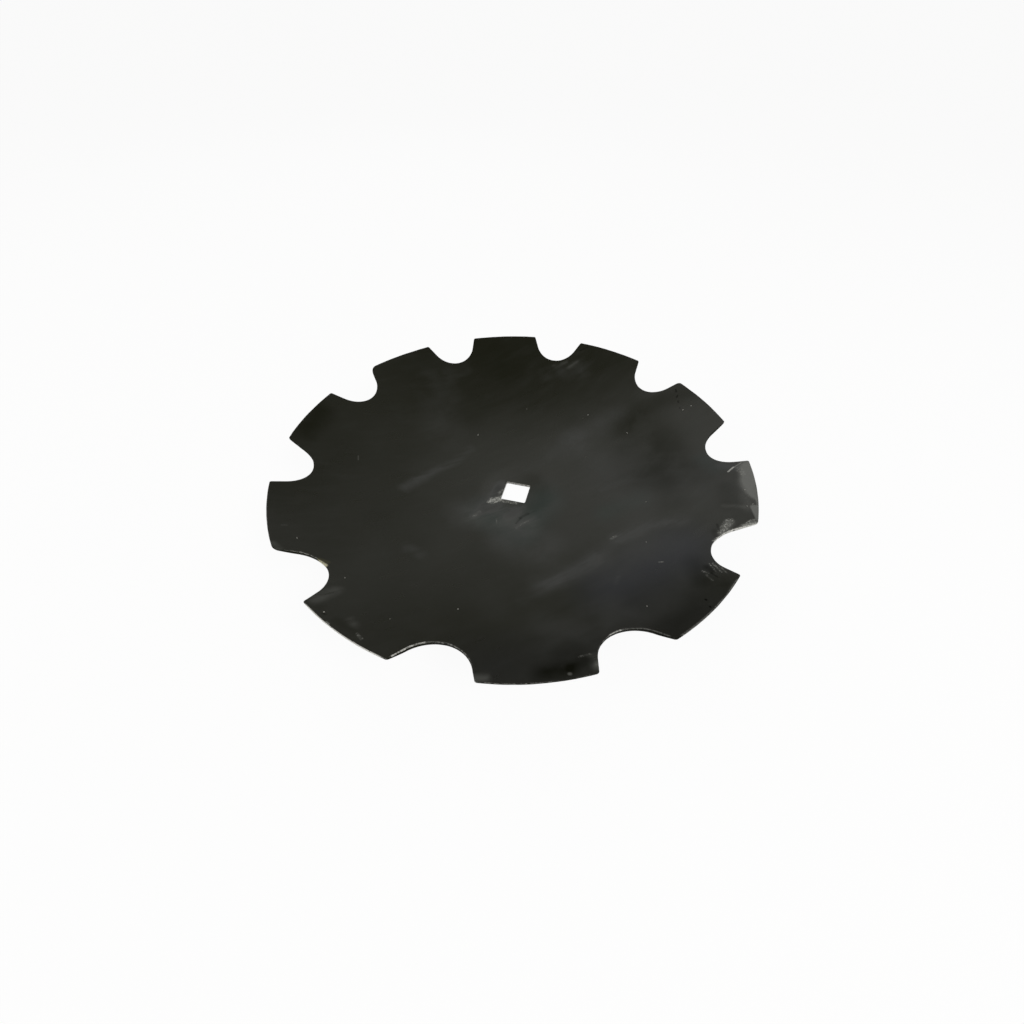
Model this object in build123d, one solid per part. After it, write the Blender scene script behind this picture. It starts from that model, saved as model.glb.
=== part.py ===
from build123d import *
import os
from math import sqrt

# Notched harrow disc blade: one sheet of steel, pressed to a dish, hollow side up.
# The origin is in the middle of the flat underside, where the blade rests and where
# the spool of the gang bears on it. +Z runs along the axle to the hollow side,
# +X goes through the middle of a tooth and +Y through the middle of a notch.
# All sizes are in millimetres and degrees.

# Dish
disc_diameter = 560.0
sheet_thickness = 4.0
dish_depth = 76.0  # from the plane of the rim down to the flat centre, in the hollow

# Flat centre that the spools clamp
seat_diameter = 90.0
seat_bend_radius = 120.0  # soft bend from the flat to the dish, in the hollow

# Square hole for the gang axle
axle_side = 31.75
axle_play = 1.25  # hole side less axle side
axle_corner_radius = 2.0

# Notches in the rim
notch_count = 10
notch_depth = 34.0
notch_bottom_radius = 34.0
notch_flank_angle = 29.0  # each straight flank opens this far from the radius
tooth_corner_radius = 3.0

# Cutting edge, ground on the outside of the dish
edge_land = 2.0  # height of the blunt edge that the grinding leaves
bevel_width = 14.0

# Making
cutter_reach = 5.0  # cutters run this far past the sheet
blank_margin = 1.0  # the dish is turned this much too wide, then cut to its outline
rim_tolerance = 0.001

rim_radius = disc_diameter / 2
seat_radius = seat_diameter / 2
rim_height = sheet_thickness + dish_depth

# The hollow is part of a sphere through the edge of the flat centre and the rim
dish_centre_height = sheet_thickness + (rim_radius**2 + dish_depth**2 - seat_radius**2) / (2 * dish_depth)
hollow_radius = sqrt(seat_radius**2 + (dish_centre_height - sheet_thickness) ** 2)
back_radius = hollow_radius + sheet_thickness
back_seat_radius = sqrt(back_radius**2 - dish_centre_height**2)


def sphere_height(sphere_radius, distance):
    """Height of a sphere of the dish at a distance from the axle."""
    return dish_centre_height - sqrt(sphere_radius**2 - distance**2)


def sphere_arc(sphere_radius, start, end):
    """Arc of the section on a sphere of the dish, between two distances from the axle."""
    stops = (start, (start + end) / 2, end)
    return ThreePointArc(*[(distance, sphere_height(sphere_radius, distance)) for distance in stops])


def make_dish():
    """The dished sheet with its ground bevel, turned from one half section, a little too wide."""
    bevel_start = rim_radius - bevel_width
    bevel_foot = sphere_height(back_radius, bevel_start)
    bevel_slope = (rim_height - edge_land - bevel_foot) / bevel_width
    blank_radius = rim_radius + blank_margin
    blank_top = sphere_height(hollow_radius, blank_radius)
    blank_bottom = bevel_foot + bevel_slope * (blank_radius - bevel_start)
    with BuildPart() as dish:
        with BuildSketch(Plane.XZ) as section:
            with BuildLine():
                Line((0, 0), (back_seat_radius, 0))
                sphere_arc(back_radius, back_seat_radius, bevel_start)
                Line((bevel_start, bevel_foot), (blank_radius, blank_bottom))
                Line((blank_radius, blank_bottom), (blank_radius, blank_top))
                sphere_arc(hollow_radius, blank_radius, seat_radius)
                Line((seat_radius, sheet_thickness), (0, sheet_thickness))
                Line((0, sheet_thickness), (0, 0))
            make_face()
            fillet(section.vertices().sort_by_distance((seat_radius, 0, sheet_thickness))[0], seat_bend_radius)
            fillet(
                section.vertices().sort_by_distance((back_seat_radius, 0, 0))[0],
                seat_bend_radius + sheet_thickness,
            )
        revolve(axis=Axis.Z)
    return dish.part


def make_notch():
    """Plan of one notch on +X: a round bottom and two straight flanks that touch it."""
    arc_centre = rim_radius - notch_depth + notch_bottom_radius
    bottom = (arc_centre - notch_bottom_radius, 0)
    touch = Vector(arc_centre, 0) + Vector(-notch_bottom_radius, 0).rotate(Axis.Z, notch_flank_angle - 90)
    flank_length = (rim_radius + cutter_reach - touch.X) / Vector(1, 0).rotate(Axis.Z, notch_flank_angle).X
    mouth = touch + Vector(flank_length, 0).rotate(Axis.Z, notch_flank_angle)
    with BuildSketch() as notch:
        with BuildLine():
            ThreePointArc((touch.X, -touch.Y), bottom, (touch.X, touch.Y))
            Polyline((touch.X, touch.Y), (mouth.X, mouth.Y), (mouth.X, -mouth.Y), (touch.X, -touch.Y))
        make_face()
    return notch.sketch


def make_outline():
    """Plan of the toothed rim, with its tooth corners rounded and a notch on +Y."""
    rim = Circle(rim_radius)
    for notch_place in PolarLocations(0, notch_count):
        rim -= notch_place * make_notch()
    corners = [corner for corner in rim.vertices() if abs(corner.center().length - rim_radius) < rim_tolerance]
    return Rot(0, 0, 90) * fillet(corners, tooth_corner_radius)


def make_blade():
    """The finished blade: the dish cut to the toothed outline, with its square hole."""
    outline = Pos(0, 0, -cutter_reach) * make_outline()
    hole_side = axle_side + axle_play
    hole = Pos(0, 0, -cutter_reach) * RectangleRounded(hole_side, hole_side, axle_corner_radius)
    reach = rim_height + 2 * cutter_reach
    blade = make_dish() & extrude(outline, reach)
    return blade - extrude(hole, reach)


os.makedirs("parts", exist_ok=True)
disc_blade = make_blade()
export_step(disc_blade, "parts/disc_blade.step")
print("disc_blade: volume", round(disc_blade.volume), "mm3, hollow radius", round(hollow_radius, 1), "mm")
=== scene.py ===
import bpy
from math import atan2, cos, pi, radians, sin
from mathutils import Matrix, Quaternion, Vector


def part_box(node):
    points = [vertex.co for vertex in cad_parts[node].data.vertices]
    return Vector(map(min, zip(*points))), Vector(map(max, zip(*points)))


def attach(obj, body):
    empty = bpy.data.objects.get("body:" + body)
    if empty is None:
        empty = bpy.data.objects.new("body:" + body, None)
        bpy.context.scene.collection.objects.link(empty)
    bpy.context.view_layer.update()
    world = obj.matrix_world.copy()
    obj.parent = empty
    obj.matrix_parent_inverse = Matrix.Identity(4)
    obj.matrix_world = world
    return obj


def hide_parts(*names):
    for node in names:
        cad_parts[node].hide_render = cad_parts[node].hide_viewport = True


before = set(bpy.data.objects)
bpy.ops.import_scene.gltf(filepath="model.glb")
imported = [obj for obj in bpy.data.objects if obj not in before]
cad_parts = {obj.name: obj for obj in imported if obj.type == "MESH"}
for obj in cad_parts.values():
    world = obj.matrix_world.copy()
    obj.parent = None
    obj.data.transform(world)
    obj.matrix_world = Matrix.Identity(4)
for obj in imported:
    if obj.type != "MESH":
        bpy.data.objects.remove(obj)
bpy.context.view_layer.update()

# Harrow disc blade, hollow side up on a white floor. All lengths are in metres.
# The blade is one piece. +X goes through a tooth and +Y through a notch.

lowCorner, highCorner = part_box("disc_blade")

# The camera stands where the photo was taken from.
# Places on the blade that were read from the photo are pixels of its 1024 x 1024 frame.
photoCamera = {
    "place": (0.09898, -0.38504, 0.42354),
    "aim": (0.02129, -0.03161, 0.00400),
    "roll": -1.434,  # degrees, the right side of the picture is this much too high
    "lens": 15.058,
    "sensor": 36.0,
    "shift": -0.01326,
    "pixels": 1024,
}

# The blade's own sizes, then its wear: edges rounded, worn corners and a little unevenness
blade = {
    "rimRadius": highCorner.x,
    "rimHeight": highCorner.z,
    "sheet": 0.004,
    "seatRadius": 0.045,
    "seatBend": 0.120,
    "holeSide": 0.033,
    "holeCorner": 0.002,
    "notches": 10,
    "firstNotch": radians(18),
    "notchDepth": 0.034,
    "notchBottom": 0.034,
    "flankAngle": radians(29),
    "toothCorner": 0.003,
    "land": 0.002,
    "bevelWidth": 0.014,
    "rollOver": 0.0006,  # rounding that the punch leaves on the hollow side of a cut
    "burr": 0.0003,
    "holeRollOver": 0.0005,
    "support": 0.0004,  # from a rounded edge to the next row of points, which holds it
    "edgeWaver": 0.0002,
    "dishWaver": 0.0006,
}

# Tooth corners that are worn rounder: their direction from the axle and their radius
wornCorners = {
    "rightBack": {"angle": radians(45), "radius": 0.0065},
    "leftBack": {"angle": radians(153), "radius": 0.0125},
    "left": {"angle": radians(225), "radius": 0.0065},
}

# How finely each stretch of the outline and of the section is cut
outlineSteps = {"arc": 14, "flank": 5, "corner": 7, "rim": 14}
sectionSteps = {
    "topSheet": 38,
    "topSupport": 1,
    "topArris": 5,
    "wall": 3,
    "lowArris": 3,
    "lowSupport": 1,
    "bevel": 5,
    "creaseIn": 1,
    "creaseOut": 1,
    "underSheet": 26,
    "holeLowSupport": 1,
    "holeLowArris": 3,
    "holeWall": 3,
    "holeTopArris": 4,
    "holeTopSupport": 1,
}


class Wire:
    # An output socket of a node tree. Sums and products of wires add Math nodes.
    def __init__(self, tree, socket=None):
        self.tree = tree
        self.socket = socket

    # Adds a node: first its settings, then the values or links of its sockets
    def add(self, kind, settings=None, values=None, out=0):
        node = self.tree.nodes.new(kind)
        for name, value in (settings or {}).items():
            setattr(node, name, value)
        for key, value in (values or {}).items():
            if isinstance(value, Wire):
                self.tree.links.new(value.socket, node.inputs[key])
            else:
                node.inputs[key].default_value = value
        return Wire(self.tree, node.outputs[out] if node.outputs else None)

    def out(self, key):
        return Wire(self.tree, self.socket.node.outputs[key])

    def maths(self, operation, *others, clamp=False):
        settings = {"operation": operation, "use_clamp": clamp}
        return self.add("ShaderNodeMath", settings, dict(enumerate([self, *others])))

    def vector(self, operation, other, out=0):
        return self.add("ShaderNodeVectorMath", {"operation": operation}, {0: self, 1: other}, out)

    def __add__(self, other):
        return self.maths("ADD", other)

    def __radd__(self, other):
        return self.maths("ADD", other)

    def __sub__(self, other):
        return self.maths("SUBTRACT", other)

    def __rsub__(self, other):
        return self.add("ShaderNodeMath", {"operation": "SUBTRACT"}, {0: other, 1: self})

    def __mul__(self, other):
        return self.maths("MULTIPLY", other)

    def __rmul__(self, other):
        return self.maths("MULTIPLY", other)

    def __truediv__(self, other):
        return self.maths("DIVIDE", other)

    def __rtruediv__(self, other):
        return self.add("ShaderNodeMath", {"operation": "DIVIDE"}, {0: other, 1: self})

    def __pow__(self, other):
        return self.maths("POWER", other)

    def sin(self):
        return self.maths("SINE")

    def cos(self):
        return self.maths("COSINE")

    def root(self):
        return self.maths("SQRT")

    # 0 at low, 1 at high, with a soft start and end. High may be the smaller one.
    def soft(self, low, high):
        values = {"Value": self, "From Min": low, "From Max": high}
        return self.add("ShaderNodeMapRange", {"interpolation_type": "SMOOTHSTEP"}, values)

    # The share, from 0 to 1, of a stretch that starts at start
    def share(self, start, length):
        return (self - start).maths("DIVIDE", length, clamp=True)

    def noise(self, scale, detail=2.0, roughness=0.5, distortion=0.0, out=0):
        values = {"Vector": self, "Scale": scale, "Detail": detail}
        values.update({"Roughness": roughness, "Distortion": distortion})
        return self.add("ShaderNodeTexNoise", {}, values, out)


def mixed(factor, first, second):
    settings = {"data_type": "RGBA", "clamp_factor": True}
    return factor.add("ShaderNodeMix", settings, {0: factor, 6: first, 7: second}, 2)


def combined(x, y, z):
    return x.add("ShaderNodeCombineXYZ", {}, {0: x, 1: y, 2: z})


# Runs a Geometry Nodes tree on an object of its own and returns the result as a plain piece
def pieceFromTree(name, tree, mesh, inputs):
    maker = bpy.data.objects.new(name + "_maker", mesh)
    bpy.context.scene.collection.objects.link(maker)
    modifier = maker.modifiers.new("shape", "NODES")
    modifier.node_group = tree
    sockets = {s.name: s.identifier for s in tree.interface.items_tree if s.in_out == "INPUT"}
    for label, value in inputs.items():
        modifier[sockets[label]] = value
    bpy.context.view_layer.update()
    depsgraph = bpy.context.evaluated_depsgraph_get()
    finished = bpy.data.meshes.new_from_object(maker.evaluated_get(depsgraph))
    finished.name = name
    painted = [m for m in finished.materials if m]
    finished.materials.clear()
    finished.materials.append(painted[0])
    finished.polygons.foreach_set("material_index", [0] * len(finished.polygons))
    bpy.data.objects.remove(maker)
    piece = bpy.data.objects.new(name, finished)
    bpy.context.scene.collection.objects.link(piece)
    return piece


# A tree with one named input for each size, and its output node
def newShapeTree(name, sizes):
    tree = bpy.data.node_groups.new(name, "GeometryNodeTree")
    tree.interface.new_socket(name="Geometry", in_out="INPUT", socket_type="NodeSocketGeometry")
    for label, value in sizes.items():
        kind = "NodeSocketInt" if isinstance(value, int) else "NodeSocketFloat"
        tree.interface.new_socket(name=label, in_out="INPUT", socket_type=kind)
    tree.interface.new_socket(name="Geometry", in_out="OUTPUT", socket_type="NodeSocketGeometry")
    start = Wire(tree).add("NodeGroupInput")
    return tree, start, {label: start.out(label) for label in sizes}


def endShapeTree(geometry, material):
    whole = geometry.add("GeometryNodeRealizeInstances", {}, {"Geometry": geometry})
    painted = whole.add("GeometryNodeSetMaterial", {}, {"Geometry": whole, "Material": material})
    painted.add("NodeGroupOutput", {}, {0: painted})


# Progress from 0 to 1 through each stretch of a row of steps
def stretches(index, steps):
    shares = {}
    start = 0
    for name, count in steps.items():
        shares[name] = index.share(start, count)
        start += count
    return shares


# Outline of the toothed rim for a running number along it: plan place and outward direction
def outlinePlace(number, size):
    half = sum(outlineSteps.values())
    turned = number.maths("MODULO", 2 * half)
    pastTooth = turned.maths("GREATER_THAN", half)
    side = 1 - 2 * pastTooth
    notchNumber = (number / (2 * half)).maths("FLOOR") + pastTooth
    pitch = 2 * pi / size["notches"]
    notchAngle = size["firstNotch"] + notchNumber * pitch
    done = stretches(half - (turned - half).maths("ABSOLUTE"), outlineSteps)

    # Three tooth corners are worn rounder than the rest, one of them most
    cornerAngle = notchAngle + side * pitch / 4
    corner = size["toothCorner"]
    for label in wornCorners:
        near = (cornerAngle - size[label + "Angle"]).maths("ABSOLUTE").maths("LESS_THAN", pitch / 8)
        corner = corner + near * (size[label + "Radius"] - size["toothCorner"])

    # Round bottom, straight flank, rounded corner and rim, from a notch middle to a tooth middle
    radius = size["rimRadius"]
    arcTurn = pi / 2 - size["flankAngle"]
    arcCentre = radius - size["notchDepth"] + size["notchBottom"]
    alongX, alongY = size["flankAngle"].cos(), size["flankAngle"].sin()
    touchX = arcCentre - size["notchBottom"] * arcTurn.cos() - alongY * corner
    touchY = size["notchBottom"] * arcTurn.sin() + alongX * corner
    level = alongX * touchX + alongY * touchY
    reach = (level * level - touchX * touchX - touchY * touchY + (radius - corner) ** 2).root()
    flank = reach - level
    cornerX, cornerY = touchX + alongX * flank, touchY + alongY * flank
    cornerPlace = cornerY.maths("ARCTAN2", cornerX)
    cornerTurn = pi / 2 + cornerPlace - size["flankAngle"]
    rimTurn = pitch / 2 - cornerPlace

    arc = arcTurn * done["arc"]
    turn = size["flankAngle"] + cornerTurn * done["corner"]
    rim = cornerPlace + rimTurn * done["rim"]
    x = arcCentre - size["notchBottom"] * arc.cos() + alongX * flank * done["flank"]
    x = x + corner * (turn.sin() - alongY) + radius * (rim.cos() - cornerPlace.cos())
    y = size["notchBottom"] * arc.sin() + alongY * flank * done["flank"]
    y = y + corner * (alongX - turn.cos()) + radius * (rim.sin() - cornerPlace.sin())
    heading = pi / 2 - arc + cornerTurn * done["corner"] + rimTurn * done["rim"]
    y = y * side
    outX, outY = heading.sin(), -1 * side * heading.cos()
    c, s = notchAngle.cos(), notchAngle.sin()
    return x * c - y * s, x * s + y * c, outX * c - outY * s, outX * s + outY * c


# Distance from the axle to the edge of the square hole, widened by offset
def holeReach(angle, size, offset):
    folded = ((angle + 2.25 * pi).maths("MODULO", pi / 2) - pi / 4).maths("ABSOLUTE")
    middle = size["holeSide"] / 2 - size["holeCorner"]
    halfSide = size["holeSide"] / 2 + offset
    straight = halfSide / folded.cos()
    lean = middle * (folded.cos() + folded.sin())
    rounded = lean + (lean * lean - 2 * middle * middle + (size["holeCorner"] + offset) ** 2).root()
    onCorner = (halfSide * folded.maths("TANGENT")).maths("GREATER_THAN", middle)
    return straight + (rounded - straight) * onCorner


# Heights of the hollow side and of the back over a distance from the axle
def sheetHeights(distance, size):
    rise = size["rimHeight"] - size["sheet"]
    seat = size["seatRadius"]
    drop = (size["rimRadius"] ** 2 + rise * rise - seat * seat) / (2 * rise)
    centre = size["sheet"] + drop
    hollow = (seat * seat + drop * drop).root()
    back = hollow + size["sheet"]
    bendCentre = size["sheet"] + size["seatBend"]
    bendStart = ((hollow - size["seatBend"]) ** 2 - (centre - bendCentre) ** 2).root()
    intoBend = (distance - bendStart).maths("MAXIMUM", 0)
    heights = []
    for ball, bend in ((hollow, size["seatBend"]), (back, bendCentre)):
        bent = bendCentre - (bend * bend - intoBend * intoBend).root()
        dished = centre - (ball * ball - distance * distance).root()
        onDish = distance.maths("GREATER_THAN", bendStart * ball / (hollow - size["seatBend"]))
        heights.append(bent + (dished - bent) * onDish)
    bevelStart = size["rimRadius"] - size["bevelWidth"]
    foot = centre - (back * back - bevelStart * bevelStart).root()
    slope = (size["rimHeight"] - size["land"] - foot) / size["bevelWidth"]
    ground = foot + slope * (distance - bevelStart)
    return heights[0], heights[1].maths("MAXIMUM", ground)


# The blade as one closed skin: a grid whose columns run round the outline, and whose rows run
# out over the hollow side, down the cut, back under the sheet and up the wall of the hole
def makeBlade(paint):
    inputs = dict(blade)
    for label, corner in wornCorners.items():
        inputs[label + "Angle"] = corner["angle"]
        inputs[label + "Radius"] = corner["radius"]
    tree, start, size = newShapeTree("notched_disc", inputs)
    columns = 2 * sum(outlineSteps.values()) * blade["notches"]
    rows = sum(sectionSteps.values())
    extent = {"Size X": columns, "Size Y": rows, "Vertices X": columns + 1, "Vertices Y": rows + 1}
    grid = start.add("GeometryNodeMeshGrid", {}, extent)
    gridPlace = start.add("ShaderNodeSeparateXYZ", {}, {0: start.add("GeometryNodeInputPosition")})
    column = (gridPlace.out("X") + columns / 2).maths("ROUND")
    row = (gridPlace.out("Y") + rows / 2).maths("ROUND")
    done = stretches(row, sectionSteps)
    rounded = ("topArris", "lowArris", "holeLowArris", "holeTopArris")
    quarter = {name: done[name] * (pi / 2) for name in rounded}
    support = size["support"]
    turnedUnder = done["bevel"]

    # Plan of the outline, a little wavy, and the inset of each row from it
    outX, outY, faceX, faceY = outlinePlace(column, size)
    outlinePoint = combined(outX, outY, outX * 0)
    waver = size["edgeWaver"] * outlinePoint.noise(55.0, 3.0, 0.6).soft(0.35, 0.75)
    inset = size["rollOver"] * (1 - quarter["topArris"].sin()) + support * (1 - done["topSupport"])
    inset = inset + size["burr"] * (1 - quarter["lowArris"].cos()) + support * done["lowSupport"]
    inset = inset + (size["rollOver"] - size["burr"]) * done["holeWall"] + waver
    x, y = outX - faceX * inset, outY - faceY * inset
    reach = (x * x + y * y).root()
    angle = y.maths("ARCTAN2", x)

    # How far the hole's edge is set back in each row
    holeInset = size["burr"] * (1 - quarter["holeLowArris"].sin()) + support * (1 - done["holeLowSupport"])
    holeInset = holeInset + size["holeRollOver"] * (1 - quarter["holeTopArris"].cos())
    holeInset = holeInset + support * done["holeTopSupport"]
    startInset = size["holeRollOver"] + support
    holeInset = startInset + (holeInset - startInset) * turnedUnder
    hole = holeReach(angle, size, holeInset)

    bevelStart = size["rimRadius"] - size["bevelWidth"]
    creases = [reach.maths("MINIMUM", bevelStart + gap) for gap in (support, 0.0, -1 * support)]
    distance = reach - (reach - hole) * (1 - done["topSheet"])
    distance = distance - (reach - creases[0]) * done["bevel"]
    distance = distance - (creases[0] - creases[1]) * done["creaseIn"]
    distance = distance - (creases[1] - creases[2]) * done["creaseOut"]
    distance = distance - (creases[2] - hole) * done["underSheet"]

    top, low = sheetHeights(distance, size)
    roll = size["rollOver"] * (1 - quarter["topArris"].cos())
    top = top - roll - (size["holeRollOver"] * (1 - quarter["holeTopArris"].sin()) - roll) * turnedUnder
    lift = size["burr"] * (1 - quarter["lowArris"].sin())
    low = low + lift + (size["burr"] * (1 - quarter["holeLowArris"].cos()) - lift) * turnedUnder
    under = done["wall"] - done["holeWall"]
    height = top + (low - top) * under

    # Pressing leaves the sheet a little uneven, less towards the flat centre
    flatX, flatY = distance * angle.cos(), distance * angle.sin()
    swell = combined(flatX, flatY, flatX * 0).noise(9.0, 1.0, 0.4)
    height = height - size["dishWaver"] * swell.soft(0.3, 0.7) * distance.soft(0.07, 0.16)

    parts = {
        "edgeGap": (outX * outX + outY * outY).root() - distance,
        "cutWall": done["topArris"] * (1 - done["lowArris"]),
        "holeWall": done["holeLowArris"] * (1 - done["holeTopArris"]),
        "hollowSide": 1 - under,
    }
    geometry = grid
    for label, value in parts.items():
        values = {"Geometry": geometry, "Name": label, "Value": value}
        settings = {"data_type": "FLOAT", "domain": "POINT"}
        geometry = geometry.add("GeometryNodeStoreNamedAttribute", settings, values)
    place = combined(flatX, flatY, height)
    geometry = geometry.add("GeometryNodeSetPosition", {}, {"Geometry": geometry, "Position": place})
    geometry = geometry.add("GeometryNodeMergeByDistance", {}, {"Geometry": geometry, "Distance": 2e-6})
    geometry = geometry.add("GeometryNodeFlipFaces", {}, {"Mesh": geometry})
    geometry = geometry.add("GeometryNodeSetShadeSmooth", {}, {"Geometry": geometry})
    endShapeTree(geometry, paint)
    return pieceFromTree("notched_blade", tree, bpy.data.meshes.new("blank"), inputs)


def makeCamera():
    data = bpy.data.cameras.new("photo_camera")
    data.sensor_width = photoCamera["sensor"]
    data.lens = photoCamera["lens"]
    data.shift_x = photoCamera["shift"]
    data.clip_start = 0.01
    data.clip_end = 100.0
    camera = bpy.data.objects.new("photo_camera", data)
    bpy.context.scene.collection.objects.link(camera)
    place, aim = Vector(photoCamera["place"]), Vector(photoCamera["aim"])
    level = (aim - place).to_track_quat("-Z", "Y")
    camera.rotation_mode = "QUATERNION"
    camera.rotation_quaternion = level @ Quaternion((0, 0, 1), radians(-photoCamera["roll"]))
    camera.location = place
    bpy.context.scene.camera = camera
    return camera.rotation_quaternion.to_matrix()


# The point of the hollow side that a pixel of the photo shows
def onHollow(pixel):
    focal = photoCamera["lens"] / photoCamera["sensor"] * photoCamera["pixels"]
    across = pixel[0] - photoCamera["pixels"] * (0.5 - photoCamera["shift"])
    down = pixel[1] - photoCamera["pixels"] / 2
    ray = (cameraTurn @ Vector((across, -down, -focal))).normalized()
    eye = Vector(photoCamera["place"])
    rise = blade["rimHeight"] - blade["sheet"]
    drop = (blade["rimRadius"] ** 2 + rise**2 - blade["seatRadius"] ** 2) / (2 * rise)
    centre = Vector((0, 0, blade["sheet"] + drop))
    ball = (blade["seatRadius"] ** 2 + drop**2) ** 0.5
    level = (eye - centre).dot(ray)
    onBall = eye + ray * (-level + (level**2 - (eye - centre).length_squared + ball**2) ** 0.5)
    onSeat = eye + ray * (blade["sheet"] - eye.z) / ray.z
    return onSeat if onSeat.xy.length < blade["seatRadius"] else onBall


# A node group: the smaller of a distance and the distance from a place to one straight stroke
def makeStrokeGap():
    tree = bpy.data.node_groups.new("stroke_gap", "ShaderNodeTree")
    kinds = {"nearest": "Float", "plan": "Vector", "start": "Vector", "run": "Vector", "share": "Vector"}
    for label, kind in kinds.items():
        tree.interface.new_socket(name=label, in_out="INPUT", socket_type="NodeSocket" + kind)
    tree.interface.new_socket(name="gap", in_out="OUTPUT", socket_type="NodeSocketFloat")
    start = Wire(tree).add("NodeGroupInput")
    offset = start.out("plan").vector("SUBTRACT", start.out("start"))
    along = offset.vector("DOT_PRODUCT", start.out("share"), 1)
    along = along.add("ShaderNodeClamp", {}, {0: along})
    back = along.add("ShaderNodeVectorMath", {"operation": "SCALE"}, {0: start.out("run"), 3: along})
    offset = offset.vector("SUBTRACT", back)
    gap = offset.add("ShaderNodeVectorMath", {"operation": "LENGTH"}, {0: offset}, 1)
    gap = gap.maths("MINIMUM", start.out("nearest"))
    gap.add("NodeGroupOutput", {}, {0: gap})
    return tree


# How near a place is to a line of pixels of the photo: tone on it, fading to 0 at the width
def track(plan, pixels, width, core=0.0, tone=1.0):
    ends = [onHollow(pixel) * Vector((1, 1, 0)) for pixel in pixels]
    gap = 1.0
    for start, end in zip(ends, ends[1:]):
        run = end - start
        values = {"nearest": gap, "plan": plan, "start": start, "run": run}
        values["share"] = run / run.length_squared
        gap = plan.add("ShaderNodeGroup", {"node_tree": strokeGap}, values)
    values = {"Value": gap, "From Min": width, "From Max": width * core, "To Max": tone}
    return gap.add("ShaderNodeMapRange", {"interpolation_type": "SMOOTHSTEP"}, values)


# The sum of a list of marks. Their widths are in millimetres.
def marked(plan, marks, core=0.0):
    total = 0
    for mark in marks:
        total = total + track(plan, mark["along"], mark["width"] / 1000, core, mark["tone"])
    return total


# 1 to the right of a line that runs from one pixel of the photo to another, 0 to its left
def rightOf(plan, pixels, fade):
    start, end = (onHollow(pixel) * Vector((1, 1, 0)) for pixel in pixels)
    across = Vector((end.y - start.y, start.x - end.x, 0)).normalized()
    gap = plan.vector("SUBTRACT", start).vector("DOT_PRODUCT", across, 1)
    return gap.soft(-fade / 2, fade / 2)


# One mark that ends at its border lines
def markUpTo(plan, mark, borders):
    amount = track(plan, mark["along"], mark["width"] / 1000, mark["core"], mark["tone"])
    for border in borders:
        amount = amount * rightOf(plan, border["along"], border["fade"] / 1000)
    return amount


# Marks in the paint, by pixels of the photo, with their widths in millimetres
# Smoky smears, first soft clouds and then streaks; their pale tone is partly real smear and partly a painted
# reflection of the lamps
smearAndSheenClouds = [
    {"along": ((456, 509), (482, 503)), "width": 28, "tone": 0.50},
    {"along": ((482, 505), (497, 487)), "width": 13, "tone": 0.55},
    {"along": ((532, 497), (546, 485)), "width": 22, "tone": 0.26},
    {"along": ((560, 450), (616, 418)), "width": 34, "tone": 0.33},
    {"along": ((625, 562), (655, 545)), "width": 46, "tone": 0.24},
    {"along": ((570, 436), (604, 472)), "width": 34, "tone": 0.18},
    {"along": ((626, 500), (650, 492)), "width": 26, "tone": 0.14},
    {"along": ((545, 585), (600, 560)), "width": 26, "tone": 0.34},
    {"along": ((505, 535), (540, 548)), "width": 46, "tone": 0.50},
    {"along": ((438, 384), (444, 432)), "width": 46, "tone": 0.17},
    {"along": ((575, 545), (640, 500)), "width": 60, "tone": 0.12},
    {"along": ((690, 430), (712, 455)), "width": 26, "tone": 0.18},
    {"along": ((466, 520), (520, 522)), "width": 34, "tone": 0.30},
    {"along": ((560, 632), (650, 600)), "width": 52, "tone": 0.26},
    {"along": ((640, 550), (640, 520)), "width": 30, "tone": 0.16},
    {"along": ((450, 373), (464, 368)), "width": 20, "tone": 0.22},
    {"along": ((548, 374), (580, 369)), "width": 22, "tone": 0.22},
]
smearAndSheenStreaks = [
    {"along": ((405, 487), (431, 473), (472, 450)), "width": 12, "tone": 0.36},
    {"along": ((416, 480), (440, 467)), "width": 8, "tone": 0.16},
    {"along": ((494, 495), (502, 484)), "width": 10, "tone": 1.6},
    {"along": ((474, 516), (489, 502), (498, 488)), "width": 9, "tone": 1.2},
    {"along": ((478, 512), (500, 503)), "width": 14, "tone": 0.6},
    {"along": ((514, 478), (548, 458)), "width": 16, "tone": 0.15},
    {"along": ((602, 489), (630, 479), (656, 478)), "width": 9, "tone": 0.30},
    {"along": ((522, 598), (556, 580)), "width": 14, "tone": 0.17},
    {"along": ((551, 583), (570, 573), (592, 560)), "width": 18, "tone": 0.35},
    {"along": ((592, 560), (604, 550), (616, 538)), "width": 15, "tone": 0.28},
    {"along": ((620, 537), (650, 525), (680, 520)), "width": 17, "tone": 0.62},
    {"along": ((664, 523), (674, 521)), "width": 5, "tone": 0.30},
    {"along": ((517, 527), (525, 522), (535, 518)), "width": 8, "tone": 0.50},
    {"along": ((534, 521), (546, 514), (560, 504)), "width": 13, "tone": 0.22},
    {"along": ((490, 508), (512, 512)), "width": 17, "tone": 1.1},
    {"along": ((506, 516), (524, 508)), "width": 9, "tone": 0.6},
    {"along": ((408, 548), (420, 555)), "width": 12, "tone": 0.26},
    {"along": ((598, 585), (622, 572)), "width": 16, "tone": 0.12},
    {"along": ((640, 395), (664, 388)), "width": 16, "tone": 0.10},
]
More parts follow.
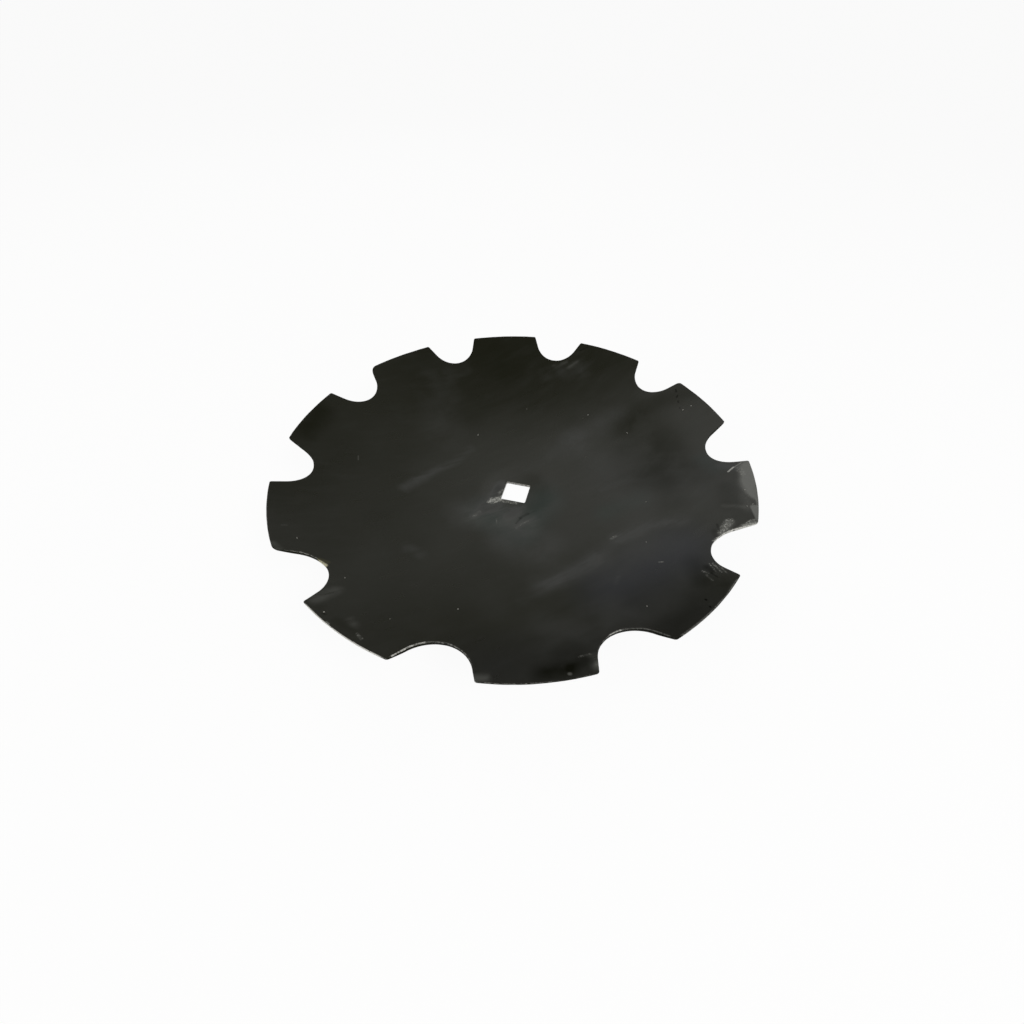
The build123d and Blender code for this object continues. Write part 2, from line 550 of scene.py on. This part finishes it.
# Tints of the smears and sheen; the dark neutral one along the front rim is painted shade
tintPatches = [
    {"along": ((484, 512), (520, 534), (545, 500)), "width": 40, "tint": (0.013, 0.028, 0.023), "tone": 0.6},
    {"along": ((607, 512), (640, 498)), "width": 24, "tint": (0.009, 0.021, 0.014), "tone": 0.5},
    {"along": ((615, 585), (680, 550)), "width": 66, "tint": (0.015, 0.017, 0.029), "tone": 0.6},
    {"along": ((704, 458), (716, 468)), "width": 18, "tint": (0.012, 0.026, 0.022), "tone": 0.7},
    {"along": ((490, 668), (580, 655), (700, 610)), "width": 60, "tint": (6e-3, 6e-3, 5.5e-3), "tone": 0.55},
    {"along": ((620, 470), (740, 480)), "width": 90, "tint": (0.0085, 0.009, 0.0055), "tone": 0.6},
    {"along": ((722, 465), (737, 466)), "width": 9, "tint": (0.030, 0.033, 0.034), "tone": 0.7},
]
# Darker matte patches where the paint's reflection is held back: painted shade
dullShadePatches = [
    {"along": ((476, 342), (506, 368)), "width": 46, "tone": 0.35},
    {"along": ((303, 430), (322, 410)), "width": 24, "tone": 0.58},
    {"along": ((541, 671), (566, 669)), "width": 15, "tone": 0.95},
    {"along": ((574, 665), (582, 661)), "width": 11, "tone": 0.90},
    {"along": ((694, 562), (703, 580)), "width": 18, "tone": 0.40},
    {"along": ((560, 655), (576, 650)), "width": 18, "tone": 0.35},
    {"along": ((672, 632), (705, 600), (724, 585)), "width": 26, "tone": 0.55},
    {"along": ((708, 566), (714, 571)), "width": 6, "tone": 0.60},
    {"along": ((622, 428), (644, 410)), "width": 28, "tone": 0.12},
    {"along": ((636, 424), (644, 446), (652, 468)), "width": 60, "tone": 0.52},
    {"along": ((668, 486), (674, 502)), "width": 30, "tone": 0.20},
    {"along": ((676, 440), (696, 470)), "width": 44, "tone": 0.26},
    {"along": ((724, 486), (728, 506)), "width": 15, "tone": 0.20},
    {"along": ((664, 400), (690, 392)), "width": 22, "tone": 0.25},
    {"along": ((640, 600), (660, 590)), "width": 30, "tone": 0.25},
    {"along": ((716, 530), (721, 538)), "width": 6, "tone": 0.35},
    {"along": ((338, 620), (352, 632)), "width": 8, "tone": 0.22},
    {"along": ((308, 600), (318, 606)), "width": 8, "tone": 0.18},
]
# Pale patches: haze on the paint, and in part painted highlights and reflections
hazeAndSheenPatches = [
    {"along": ((746, 480), (750, 506)), "width": 12, "tone": 0.22},
    {"along": ((724, 507), (742, 507)), "width": 5, "tone": 0.14},
    {"along": ((476, 677), (486, 678)), "width": 7, "tone": 0.36},
    {"along": ((312, 598), (322, 595), (335, 590)), "width": 9, "tone": 0.26},
    {"along": ((354, 620), (357, 626)), "width": 7, "tone": 0.22},
    {"along": ((738, 583), (728, 598), (718, 607)), "width": 4, "tone": 0.25},
    {"along": ((617, 582), (619, 577)), "width": 5, "tone": 0.08},
    {"along": ((597, 664), (598, 652), (604, 643)), "width": 5, "tone": 0.30},
    {"along": ((474, 516), (500, 520), (528, 524)), "width": 28, "tone": 0.15},
    {"along": ((593, 656), (597, 668)), "width": 8, "tone": 0.36},
    {"along": ((273, 543), (277, 548)), "width": 5, "tone": 0.22},
    {"along": ((554, 366), (566, 362)), "width": 6, "tone": 0.20},
    {"along": ((570, 367), (577, 363)), "width": 7, "tone": 0.20},
    {"along": ((723, 532), (729, 522)), "width": 8, "tone": 0.50},
    {"along": ((743, 526), (754, 522)), "width": 6, "tone": 0.50},
]
scuffs = [
    {"along": ((488, 502), (494, 499.5)), "width": 3.2, "tone": 1.5},
    {"along": ((492, 500.5), (504, 497.5)), "width": 6.5, "tone": 3.0},
    {"along": ((499, 493), (503, 490)), "width": 3.0, "tone": 0.5},
    {"along": ((500, 500.5), (517, 503.5)), "width": 3.0, "tone": 1.0},
    {"along": ((474, 516), (480, 511.5)), "width": 3.0, "tone": 0.35},
    {"along": ((496, 519), (496.5, 523)), "width": 1.5, "tone": 0.35},
    {"along": ((723, 532), (729, 521)), "width": 6.0, "tone": 1.2},
    {"along": ((744, 526), (753, 521)), "width": 5.0, "tone": 1.5},
    {"along": ((715, 541), (724, 534), (735, 529.5), (746, 526.5), (757, 522.5)), "width": 3.6, "tone": 2.0},
    {"along": ((738, 467), (743, 474)), "width": 4.0, "tone": 0.45},
    {"along": ((713, 563), (719, 569)), "width": 1.5, "tone": 0.7},
    {"along": ((717, 562), (723, 568)), "width": 1.5, "tone": 0.6},
    {"along": ((703, 571), (709, 573)), "width": 1.6, "tone": 0.6},
    {"along": ((707, 575), (713, 580)), "width": 1.4, "tone": 0.4},
    {"along": ((357, 634), (361, 639)), "width": 2.0, "tone": 0.5},
    {"along": ((579, 656.5), (590, 653.5)), "width": 1.5, "tone": 0.3},
    {"along": ((516, 528), (522, 524), (528, 521)), "width": 1.8, "tone": 0.28},
    {"along": ((709, 563), (716, 571)), "width": 1.3, "tone": 0.5},
    {"along": ((714, 565), (722, 572)), "width": 1.2, "tone": 0.6},
    {"along": ((719, 566), (727, 573)), "width": 1.2, "tone": 0.4},
]
scratches = [
    {"along": ((728.5, 471.3), (733.5, 467.2)), "width": 1.5, "tone": 1.0},
    {"along": ((733.5, 467.2), (741, 462.5)), "width": 1.1, "tone": 0.4},
    {"along": ((569.5, 673.4), (569.9, 673.5)), "width": 2.5, "tone": 0.24},
    {"along": ((659, 562), (663, 561.7)), "width": 1.2, "tone": 0.22},
    {"along": ((326, 622), (328.5, 624)), "width": 1.3, "tone": 0.45},
    {"along": ((358.3, 455.8), (358.4, 459.6)), "width": 1.0, "tone": 0.13},
    {"along": ((281.5, 524.8), (287, 525)), "width": 1.1, "tone": 0.07},
    {"along": ((611, 538.5), (616, 536)), "width": 2.2, "tone": 0.16},
]
creases = [
    {"along": ((516, 523.5), (521, 518.5)), "width": 2.4, "tone": 0.30},
    {"along": ((520, 518), (528, 513.5)), "width": 2.8, "tone": 0.32},
    {"along": ((528, 514.5), (535, 511)), "width": 1.6, "tone": 0.14},
    {"along": ((323, 613), (325, 614)), "width": 1.6, "tone": 0.4},
    {"along": ((392, 656), (424, 645)), "width": 1.3, "tone": 0.3},
    {"along": ((717, 524), (720, 531)), "width": 1.8, "tone": 0.35},
    {"along": ((675.8, 389), (676.2, 391.5)), "width": 1.6, "tone": 0.5},
    {"along": ((677.6, 395), (676.8, 397)), "width": 1.5, "tone": 0.5},
    {"along": ((678, 400.6), (678.6, 402)), "width": 1.6, "tone": 0.4},
    {"along": ((680, 407), (680.4, 408)), "width": 1.3, "tone": 0.4},
    {"along": ((580, 351), (588, 347)), "width": 1.6, "tone": 0.40},
    {"along": ((425, 643.6), (440, 642.9), (453, 645.2)), "width": 1.6, "tone": 0.8},
    {"along": ((625, 630), (645, 629.6), (668, 636)), "width": 1.5, "tone": 0.7},
    {"along": ((712, 573), (718, 577)), "width": 1.4, "tone": 0.35},
    {"along": ((706, 599), (706.6, 599.4)), "width": 1.4, "tone": 0.8},
    {"along": ((710, 606), (710.5, 606.5)), "width": 1.3, "tone": 0.8},
]

# Stretches of the cut edge where the paint has come off the arris; their bright line is in part a painted
# highlight
bareEdgesAndHighlights = [
    {"along": ((394, 655), (403, 650)), "width": 3, "tone": 1.2},
    {"along": ((403, 650), (411, 646)), "width": 3, "tone": 1.0},
    {"along": ((411, 646), (423, 642.5)), "width": 2.4, "tone": 0.6},
    {"along": ((423, 642), (448, 643)), "width": 2.4, "tone": 0.14},
    {"along": ((450, 646), (457, 650), (463, 660)), "width": 3, "tone": 0.40},
    {"along": ((605, 642), (612, 635), (620, 631)), "width": 2.4, "tone": 0.8},
    {"along": ((622, 630), (645, 629), (668, 636)), "width": 2.4, "tone": 0.16},
    {"along": ((300, 553), (315, 559)), "width": 3, "tone": 0.2},
    {"along": ((739, 580), (729, 596), (718, 607)), "width": 3, "tone": 0.18},
    {"along": ((716, 610), (698, 624), (682, 634)), "width": 3, "tone": 0.16},
]

# The outer end of one tooth is worn to a pale haze with a sharp curved border, and carries a painted
# highlight.
# Widths are in millimetres; a border line keeps only what lies to the right of it.
wornEndAndHighlight = {
    "lobe": {"along": ((748, 466), (750, 479), (757, 496)), "width": 15, "core": 0.15, "tone": 1.12},
    "lobeBorders": (
        {"along": ((742, 500), (738, 464)), "fade": 10},
        {"along": ((760, 503), (742, 490)), "fade": 5},
    ),
    "wedge": {"along": ((753, 508), (757.5, 517)), "width": 6, "core": 0.5, "tone": 1.5},
    "wedgeBorders": ({"along": ((756.5, 520), (749.5, 505)), "fade": 1.8},),
    "rimLine": {"along": ((757, 498), (759, 516)), "width": 1.8, "core": 0.3, "tone": 0.9},
}

# Pale residue in one notch, and the cut wall of another that has lost its paint and carries a painted
# highlight
cutMarks = {
    "residue": {"along": ((317, 560.5), (321, 562.5), (325, 565)), "width": 3, "core": 0.4, "tone": 1},
    "stain": {"along": ((319, 559), (328, 562)), "width": 3.2, "core": 0.2, "tone": 1},
    "wall": {"along": ((713, 545), (722, 535), (733, 531), (758, 524)), "width": 7, "core": 0.4, "tone": 1},
}

# Where round the rim, in degrees, the blunt edge of a tooth is bare, and how far it is
bareTeeth = (
    {"start": (-118, -116.5), "end": (-98, -100.5), "tone": 1.0},
    {"start": (-45.5, -44), "end": (-35, -38), "tone": 0.6},
)

# How far wear reaches, in metres: from where it starts to where it is full
wear = {
    "rimBand": (0.0032, 0.0015),  # in from the rim
    "bevelEdge": (0.0005, -0.0005),
    "arris": (0.0012, 0.0004),  # in from the cut edge, on the hollow side
    "rimArris": (0.0012, 0.0005),
    "wideArris": (0.0021, 0.0012),
    "nearSide": (-0.10, -0.19),  # towards the camera
    "seat": (0.075, 0.045),  # from the axle
}

# Colours of the paint, its marks and the bare steel, some of them painted sheen and highlights
finish = {
    "black": (0.0080, 0.0084, 0.0017, 1),
    "smearAndSheen": (0.056, 0.057, 0.054, 1),
    "hazeAndSheen": (0.150, 0.152, 0.140, 1),
    "scuffed": (0.46, 0.46, 0.43, 1),
    "crease": (0.002, 0.002, 0.002, 1),
    "steel": (0.46, 0.45, 0.42, 1),
    "darkSteel": (0.10, 0.09, 0.08, 1),
    "brightSteelAndHighlight": (0.80, 0.79, 0.75, 1),
    "residue": (0.60, 0.57, 0.40, 1),
    "stain": (0.035, 0.032, 0.008, 1),
    "roughness": 0.30,
}

# Noise of the paint and of the cuts: how fine it is, in turns a metre, and how high it stands
paintGrain = {
    "streakStart": (527, 592),  # the streaks run from one of these pixels to the other
    "streakEnd": (604, 555),
    "fibres": (16.0, 90.0, 50.0),
    "hairs": (70.0, 430.0, 250.0),
    "waves": (14.0, 30.0, 20.0),
    "clouds": 19.0,
    "flecks": 620.0,
    "chips": 300.0,
    "wobble": 26.0,
    "softMarkShift": 0.014,
    "markShift": 0.0025,
    "peel": 330.0,
    "shear": 1300.0,
    "grinding": 1500.0,
    "rings": 900.0,
    "peelHeight": 5e-6,
    "waveHeight": 1.2e-4,
    "grindHeight": 2.5e-5,
    "shearHeight": 2.5e-5,
}


def makePaint():
    material = bpy.data.materials.new("blade_black_paint")
    material.use_nodes = True
    tree = material.node_tree
    tree.nodes.clear()
    start = Wire(tree)
    place = start.add("ShaderNodeTexCoord", {}, {}, "Object")
    split = place.add("ShaderNodeSeparateXYZ", {}, {0: place})
    x, y, z = split.out("X"), split.out("Y"), split.out("Z")
    plan = place.vector("MULTIPLY", (1, 1, 0))
    radius = (x * x + y * y).root()
    angle = y.maths("ARCTAN2", x)
    part = {}
    for label in ("edgeGap", "cutWall", "holeWall", "hollowSide"):
        part[label] = start.add("ShaderNodeAttribute", {"attribute_name": label}, {}, "Fac")
    hollow = part["hollowSide"]

    # Streaks lie along one direction, from the lower left of the photo to the upper right
    run = onHollow(paintGrain["streakEnd"]) - onHollow(paintGrain["streakStart"])
    turned = place.add("ShaderNodeMapping", {}, {"Vector": place, "Rotation": (0, 0, -atan2(run.y, run.x))})
    fibres = turned.vector("MULTIPLY", paintGrain["fibres"]).noise(1.0, 2.5, 0.60, 0.4)
    hairs = turned.vector("MULTIPLY", paintGrain["hairs"]).noise(1.0, 3.0, 0.65)
    clouds = place.noise(paintGrain["clouds"], 4.0, 0.55)
    flecks = place.noise(paintGrain["flecks"], 3.0, 0.68)
    chips = place.noise(paintGrain["chips"], 3.0, 0.6)
    wobble = place.noise(paintGrain["wobble"], 3.0, 0.55, 0.0, 1).vector("SUBTRACT", (0.5, 0.5, 0.5))
    softMarkShift, markShift = paintGrain["softMarkShift"], paintGrain["markShift"]
    softMarkPlan = plan.vector("ADD", wobble.vector("MULTIPLY", (softMarkShift, softMarkShift, 0)))
    nearPlan = plan.vector("ADD", wobble.vector("MULTIPLY", (markShift, markShift, 0)))

    # Smears lighten the black paint; they are in part a painted reflection of the lamps
    smearAndSheen = marked(softMarkPlan, smearAndSheenStreaks) * (0.30 + 1.1 * fibres.soft(0.28, 0.66) + (hairs - 0.5) * 0.8)
    smearAndSheen = smearAndSheen + marked(softMarkPlan, smearAndSheenClouds) * (0.45 + 0.35 * fibres + 0.75 * clouds.soft(0.35, 0.62))
    smearAndSheen = smearAndSheen * hollow + (fibres - 0.5) * 0.20 + (clouds - 0.5) * 0.22
    # Darker matte patches hold back the reflection and the smears: painted shade
    dullShade = marked(softMarkPlan, dullShadePatches) * hollow * (0.7 + 0.6 * clouds.soft(0.35, 0.6))
    smearAndSheen = smearAndSheen * (1 - dullShade).maths("MAXIMUM", 0)
    colour = mixed(smearAndSheen, finish["black"], finish["smearAndSheen"])
    # Tints of the smears; the dark one along the front rim is painted shade
    for patch in tintPatches:
        amount = track(softMarkPlan, patch["along"], patch["width"] / 1000, 0.0, patch["tone"]) * hollow
        tint = mixed(smearAndSheen * 0.8, (*patch["tint"], 1), finish["smearAndSheen"])
        colour = mixed(amount, colour, tint)

    # The worn end of one tooth with its painted highlight, and patches of haze that are in part painted
    # highlights and reflections
    lobe = markUpTo(nearPlan, wornEndAndHighlight["lobe"], wornEndAndHighlight["lobeBorders"])
    wedge = markUpTo(nearPlan, wornEndAndHighlight["wedge"], wornEndAndHighlight["wedgeBorders"])
    rimLine = markUpTo(nearPlan, wornEndAndHighlight["rimLine"], ())
    bright = (lobe + wedge + rimLine) * (0.8 + 0.4 * clouds.soft(0.35, 0.65)) * hollow
    hazeAndSheen = marked(softMarkPlan, hazeAndSheenPatches) * hollow * (0.35 + 1.0 * fibres.soft(0.3, 0.65)) + bright * 0.9
    colour = mixed(hazeAndSheen, colour, finish["hazeAndSheen"])

    # Scuffs break into flecks
    scuff = marked(nearPlan, scuffs, 0.2) * hollow
    scuff = scuff * (0.09 + flecks.soft(0.46, 0.64) * (0.25 + 0.75 * chips.soft(0.42, 0.55)))
    colour = mixed(scuff, colour, finish["scuffed"])
    scratch = marked(nearPlan, scratches, 0.3) * hollow * (0.4 + 0.6 * flecks.soft(0.36, 0.52))
    colour = mixed(scratch, colour, finish["scuffed"])
    crease = marked(nearPlan, creases, 0.2) * hollow
    colour = mixed(crease, colour, finish["crease"])

    # Bare steel on the blunt edge of the teeth that lie towards the camera, and on worn arrises
    inFromRim = blade["rimRadius"] - radius
    onRim = inFromRim.soft(*wear["rimBand"])
    bareTooth, halfTooth = (
        angle.soft(*map(radians, tooth["start"])) * angle.soft(*map(radians, tooth["end"])) * tooth["tone"]
        for tooth in bareTeeth
    )
    bare = (bareTooth + halfTooth + flecks.soft(0.58, 0.70) * 0.5) * onRim * part["cutWall"]
    arris = part["edgeGap"].soft(*wear["arris"]) * hollow * (1 - part["cutWall"]).soft(-0.1, 0.4)
    worn = clouds.soft(0.46, 0.60) * flecks.soft(0.45, 0.60)
    bare = bare + arris * worn * (0.2 + 0.5 * y.soft(*wear["nearSide"]))
    bare = bare + part["holeWall"] * (0.35 + 0.5 * chips.soft(0.35, 0.6))
    bare = bare.add("ShaderNodeClamp", {}, {0: bare})
    steel = mixed(flecks.soft(0.3, 0.6), finish["darkSteel"], finish["steel"])
    colour = mixed(bare, colour, steel)
    # The bright arris lines, the rim arris of the teeth towards the camera and the pale cut wall are bare
    # edges drawn with a painted highlight
    wide = part["edgeGap"].soft(*wear["wideArris"]) * hollow * (1 - part["cutWall"])
    shine = marked(plan, bareEdgesAndHighlights, 0.6) * wide * (0.25 + 0.9 * flecks.soft(0.40, 0.55))
    rimArris = part["edgeGap"].soft(*wear["rimArris"]) * hollow
    shine = shine + bareTooth * onRim * (part["cutWall"] + rimArris) * chips.soft(0.32, 0.44)
    paleCut = markUpTo(plan, cutMarks["wall"], ())
    shine = shine + paleCut * part["cutWall"] * (0.15 + 0.85 * chips.soft(0.38, 0.50))
    shine = shine.add("ShaderNodeClamp", {}, {0: shine})
    colour = mixed(shine, colour, finish["brightSteelAndHighlight"])

    # The underside is rubbed where it lies on the ground, and its ground bevel shows steel
    under = (1 - hollow) * (1 - part["cutWall"]).soft(0.4, 0.9)
    onBevel = under * (inFromRim - blade["bevelWidth"]).soft(*wear["bevelEdge"])
    rubbed = under * radius.soft(*wear["seat"]) * clouds.soft(0.44, 0.60) * flecks.soft(0.44, 0.60)
    rings = combined(angle * 0.05, radius, z * 0).noise(paintGrain["rings"], 3.0, 0.7)
    ground = onBevel * (0.25 + 0.75 * clouds.soft(0.45, 0.62)) * rings.soft(0.42, 0.62)
    colour = mixed(rubbed * 0.5 + ground * 0.6, colour, steel)

    # Pale residue in one notch
    residue = markUpTo(plan, cutMarks["residue"], ()) * flecks.soft(0.34, 0.44)
    stain = markUpTo(plan, cutMarks["stain"], ())
    colour = mixed(stain, colour, finish["stain"])
    colour = mixed(residue, colour, finish["residue"])

    # Grinding marks on the bevel and shear marks on the cuts
    polar = combined(angle * 0.28, radius * 0.04, z * 0)
    grinding = polar.noise(paintGrain["grinding"], 3.0, 0.7)
    shear = place.vector("MULTIPLY", (1, 1, 0.08)).noise(paintGrain["shear"], 2.0, 0.6)
    peel = place.noise(paintGrain["peel"], 2.0, 0.5)
    waves = turned.vector("MULTIPLY", paintGrain["waves"]).noise(1.0, 2.0, 0.5)
    height = peel * paintGrain["peelHeight"] + waves * paintGrain["waveHeight"]
    height = height + grinding * onBevel * paintGrain["grindHeight"]
    height = height + shear * part["cutWall"] * paintGrain["shearHeight"]
    bump = start.add("ShaderNodeBump", {}, {"Strength": 1.0, "Distance": 1.0, "Height": height})

    roughness = finish["roughness"] + smearAndSheen * 0.20 + (fibres - 0.5) * 0.12
    roughness = roughness + scuff * 0.3 + residue * 0.4 + bare * 0.05 - hazeAndSheen * 0.05
    roughness = roughness + part["cutWall"] * 0.15 + onBevel * 0.06
    roughness = roughness.add("ShaderNodeClamp", {}, {0: roughness, "Min": 0.08, "Max": 0.95})
    metal = (bare + ground * 0.6) * (1 - residue) * (1 - shine)
    gloss = {"Base Color": colour, "Metallic": metal, "Roughness": roughness, "Normal": bump}
    glossy = start.add("ShaderNodeBsdfPrincipled", {}, {**gloss, "Specular IOR Level": 0.5})
    flat = {"Base Color": colour, "Roughness": 0.7, "Normal": bump}
    matte = start.add("ShaderNodeBsdfPrincipled", {}, {**flat, "Specular IOR Level": 0.06})
    blackCut = part["cutWall"] * (1 - bare) * (1 - shine) * (1 - residue)
    share = blackCut + dullShade * 0.75 + crease
    share = share.add("ShaderNodeClamp", {}, {0: share})
    shader = start.add("ShaderNodeMixShader", {}, {0: share, 1: glossy, 2: matte})
    start.add("ShaderNodeOutputMaterial", {}, {0: shader})
    return material


# Grains of grit that stick to the hollow side, at pixels of the photo
grit = {
    "pixels": (
        (478, 435), (527, 409), (588, 415), (583, 418), (627, 433), (586, 457), (646, 502), (691, 406),
        (683, 410), (297, 538), (458, 609), (390, 619), (345, 578), (613, 537), (646, 542),
        (662, 562), (647, 606), (324, 612), (745, 490), (747, 506), (753, 504),
    ),
    "size": 0.0006,
    "smallest": 0.6,
    "largest": 1.3,
    "dents": 900.0,
    "dentDepth": 0.0009,
    "seed": 4,
    "dark": (0.30, 0.29, 0.26, 1),
    "pale": (0.75, 0.73, 0.68, 1),
}


def makeGrit(material):
    inputs = {label: grit[label] for label in ("size", "smallest", "largest", "seed")}
    tree, start, size = newShapeTree("grit_grains", inputs)
    ball = start.add("GeometryNodeMeshIcoSphere", {}, {"Radius": size["size"], "Subdivisions": 2})
    dent = start.add("GeometryNodeInputPosition").noise(grit["dents"], 2.0, 0.6, 0.0, 1)
    dent = dent.vector("SUBTRACT", (0.5, 0.5, 0.5)).vector("MULTIPLY", [grit["dentDepth"]] * 3)
    grain = ball.add("GeometryNodeSetPosition", {}, {"Geometry": ball, "Offset": dent})
    turns = {0: (0, 0, 0), 1: (6.28, 6.28, 6.28), "Seed": size["seed"]}
    turn = start.add("FunctionNodeRandomValue", {"data_type": "FLOAT_VECTOR"}, turns, 0)
    spreads = {2: size["smallest"], 3: size["largest"], "Seed": size["seed"]}
    spread = start.add("FunctionNodeRandomValue", {"data_type": "FLOAT"}, spreads, 1)
    values = {"Points": start, "Instance": grain, "Rotation": turn, "Scale": spread}
    grains = start.add("GeometryNodeInstanceOnPoints", {}, values)
    endShapeTree(grains, material)
    points = bpy.data.meshes.new("grit_points")
    points.from_pydata([onHollow(pixel) for pixel in grit["pixels"]], [], [])
    return pieceFromTree("grit_grains", tree, points, inputs)


def makeDust():
    material = bpy.data.materials.new("pale_grit")
    material.use_nodes = True
    tree = material.node_tree
    tree.nodes.clear()
    start = Wire(tree)
    place = start.add("ShaderNodeTexCoord", {}, {}, "Object")
    colour = mixed(place.noise(60.0, 2.0), grit["dark"], grit["pale"])
    shader = start.add("ShaderNodeBsdfPrincipled", {}, {"Base Color": colour, "Roughness": 0.85})
    start.add("ShaderNodeOutputMaterial", {}, {0: shader})
    return material


# White studio cove: a floor that rises all round, low enough to leave the dish its dim surroundings
stage = {
    "floorRadius": 8.0,
    "riseRadius": 2.0,
    "riseAngle": radians(50),
    "below": 0.0002,
    "sides": 96,
    "steps": 12,
    "glow": 1.02,
    "glowShare": 0.92,
}


def makeStage():
    rings = [(0.4, 0.0), (1.5, 0.0), (stage["floorRadius"], 0.0)]
    for step in range(1, stage["steps"] + 1):
        turn = stage["riseAngle"] * step / stage["steps"]
        reach = stage["floorRadius"] + stage["riseRadius"] * sin(turn)
        rings.append((reach, stage["riseRadius"] * (1 - cos(turn))))
    points = [(0, 0, -stage["below"])]
    faces = []
    sides = stage["sides"]
    for ring, (reach, height) in enumerate(rings):
        for side in range(sides):
            turn = 2 * pi * side / sides
            points.append((reach * cos(turn), reach * sin(turn), height - stage["below"]))
            first = 1 + ring * sides
            after = (side + 1) % sides
            if ring == 0:
                faces.append((0, 1 + side, 1 + after))
            else:
                faces.append((first - sides + side, first + side, first + after, first - sides + after))
    mesh = bpy.data.meshes.new("white_cove")
    mesh.from_pydata(points, [], faces)
    mesh.polygons.foreach_set("use_smooth", [True] * len(mesh.polygons))
    cove = bpy.data.objects.new("white_cove", mesh)
    bpy.context.scene.collection.objects.link(cove)

    material = bpy.data.materials.new("white_cove")
    material.use_nodes = True
    tree = material.node_tree
    tree.nodes.clear()
    start = Wire(tree)
    painted = start.add("ShaderNodeBsdfDiffuse", {}, {"Color": (0.9, 0.9, 0.9, 1)})
    shining = start.add("ShaderNodeEmission", {}, {"Color": (1, 1, 1, 1), "Strength": stage["glow"]})
    ray = start.add("ShaderNodeLightPath")
    seen = ray.out("Is Camera Ray").maths("MAXIMUM", ray.out("Is Glossy Ray"))
    seen = seen.maths("MAXIMUM", ray.out("Is Transmission Ray"))
    shader = start.add("ShaderNodeMixShader", {}, {0: seen * stage["glowShare"], 1: painted, 2: shining})
    start.add("ShaderNodeOutputMaterial", {}, {0: shader})
    mesh.materials.append(material)


# Soft lamps. Azimuth 0 is +X of the blade, 90 is +Y; glow is how bright the lamp's face is.
lamps = {
    "window_behind": {"azimuth": 122, "height": 42, "distance": 2.6, "size": (1.35, 1.8), "glow": 0.70},
    "key_right": {"azimuth": -30, "height": 48, "distance": 2.4, "size": (0.9, 0.9), "glow": 7.0},
    "fill_left": {"azimuth": -135, "height": 42, "distance": 2.6, "size": (1.4, 1.2), "glow": 2.5},
}
surroundings = {
    "overhead": 0.12,
    "high": 0.19,  # added below the overhead patch
    "highRange": (0.985, 0.86),
    "middle": 0.09,  # taken off lower down, and again near the floor
    "middleRange": (0.84, 0.68),
    "low": 0.08,
    "lowRange": (0.44, 0.14),
    "darkSide": (0.9686, 0.2487, 0),
    "darkRange": (-0.02, 0.28),
    "darkShare": 0.3,
    "tint": (1.0, 1.0, 0.92, 1),
}


def makeLamps():
    for name, lamp in lamps.items():
        data = bpy.data.lights.new(name, "AREA")
        data.shape = "RECTANGLE"
        data.size, data.size_y = lamp["size"]
        data.energy = lamp["glow"] * pi * lamp["size"][0] * lamp["size"][1]
        turn, height = radians(lamp["azimuth"]), radians(lamp["height"])
        direction = Vector((cos(turn) * cos(height), sin(turn) * cos(height), sin(height)))
        light = bpy.data.objects.new(name, data)
        light.location = direction * lamp["distance"]
        light.rotation_mode = "QUATERNION"
        light.rotation_quaternion = direction.to_track_quat("Z", "Y")
        light.visible_camera = False
        bpy.context.scene.collection.objects.link(light)

    # Dim surroundings, darkest overhead and on the far right
    world = bpy.data.worlds.new("dim_studio")
    world.use_nodes = True
    tree = world.node_tree
    tree.nodes.clear()
    start = Wire(tree)
    direction = start.add("ShaderNodeTexCoord", {}, {}, "Generated")
    up = start.add("ShaderNodeSeparateXYZ", {}, {0: direction}).out("Z")
    farRight = direction.vector("DOT_PRODUCT", surroundings["darkSide"], 1)
    farRight = farRight.soft(*surroundings["darkRange"])
    below = up.soft(*surroundings["middleRange"])
    tone = surroundings["overhead"] + surroundings["high"] * up.soft(*surroundings["highRange"])
    tone = tone - surroundings["middle"] * below
    tone = tone * (1 - surroundings["darkShare"] * farRight * below)
    tone = tone - surroundings["low"] * up.soft(*surroundings["lowRange"])
    shader = start.add("ShaderNodeBackground", {}, {"Color": surroundings["tint"], "Strength": tone})
    start.add("ShaderNodeOutputWorld", {}, {0: shader})
    bpy.context.scene.world = world


bpy.context.scene.view_settings.view_transform = "Standard"
cameraTurn = makeCamera()
strokeGap = makeStrokeGap()
makeStage()
makeLamps()
print("camera, stage and lamps are up")

notchedBlade = makeBlade(makePaint())
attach(notchedBlade, "root")
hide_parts("disc_blade")
mesh = notchedBlade.data
print("blade:", len(mesh.vertices), "points,", sum(len(p.vertices) - 2 for p in mesh.polygons), "triangles")

gritGrains = makeGrit(makeDust())
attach(gritGrains, "root")
print("grit:", len(gritGrains.data.polygons), "faces")
